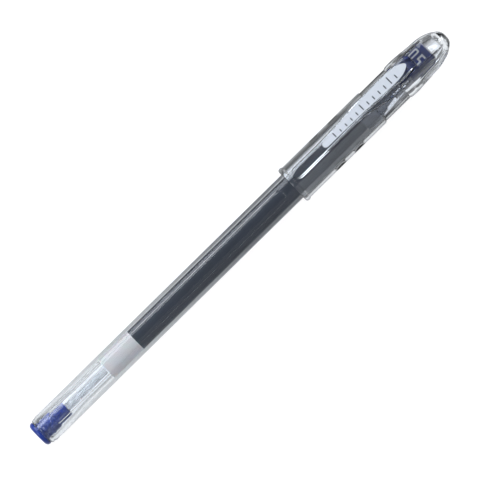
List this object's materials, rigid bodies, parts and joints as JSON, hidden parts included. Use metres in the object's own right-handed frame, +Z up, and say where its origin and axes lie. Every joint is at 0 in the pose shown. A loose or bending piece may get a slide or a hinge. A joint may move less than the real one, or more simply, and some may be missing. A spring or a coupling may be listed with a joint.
{
  "type": "capped gel pen",
  "caption": "Slim gel pen with a milky clear barrel showing dark ink, a blue tail plug and a clear fluted cap whose clip carries a white field.",
  "frame": {"origin": "Middle of the pen's bounding box on the ground it lies on, clip up.", "axes": "+X along the pen from the tail to the cap's end, +Z up on the side of the clip, +Y across."},
  "size_m": [0.149, 0.0112, 0.0136],
  "materials": {
    "milky_barrel": "milky clear moulded polypropylene, smooth",
    "blue_plastic": "opaque blue moulded plastic, smooth",
    "milky_tube": "translucent white extruded tube",
    "grease": "soft translucent follower grease",
    "ink": "dense blue-black gel ink",
    "clear_holder": "clear moulded plastic",
    "bright_steel": "polished ball",
    "carbide": "polished hard ball",
    "nickel_silver": "turned metal point, fine turning marks",
    "clear_cap": "glass-clear moulded polystyrene, polished",
    "clear_sleeve": "clear moulded plastic",
    "print_white": "white print, satin",
    "label_white": "pale white print, satin"
  },
  "bodies": {
    "pen": {"barrel": "milky_barrel", "tail_plug": "blue_plastic", "vent_tube": "milky_tube", "ink_column": "ink", "nib_holder": "clear_holder", "tip_body": "nickel_silver"},
    "follower": {"follower_grease": "grease"},
    "check_ball": {"check_ball": "bright_steel"},
    "writing_ball": {"writing_ball": "carbide"},
    "cap_inner": {"cap_inner_sleeve": "clear_sleeve"},
    "cap": {"cap_tube": "clear_cap", "cap_crown": "clear_cap", "crown_insert": "blue_plastic", "size_digit_zero": "print_white", "size_point": "print_white", "size_digit_five": "print_white"},
    "clip": {"clip": "clear_cap", "clip_label": "label_white"}
  },
  "joints": [
    {"name": "cap_pull", "type": "slide", "parent": "pen", "child": "cap_inner", "axis": [1, 0, 0], "range_m": [0, 0.045]},
    {"name": "cap_turn", "type": "hinge", "parent": "cap_inner", "child": "cap", "pos_m": [0, 0, 0.00563], "axis": [1, 0, 0], "continuous": true},
    {"name": "clip_flex", "type": "hinge", "parent": "cap", "child": "clip", "pos_m": [0.062, 0, 0.01253], "axis": [0, 1, 0], "range_deg": [0, 5], "stiffness_Nm_per_rad": 1},
    {"name": "follower_travel", "type": "slide", "parent": "pen", "child": "follower", "axis": [1, 0, 0], "range_m": [0, 0.08], "deforming": ["ink_column"]},
    {"name": "check_ball_float", "type": "slide", "parent": "pen", "child": "check_ball", "axis": [1, 0, 0], "range_m": [0, 0.00085]},
    {"name": "ball_roll", "type": "hinge", "parent": "pen", "child": "writing_ball", "pos_m": [0.05888, 0, 0.00563], "axis": [0, 1, 0], "continuous": true}
  ]
}
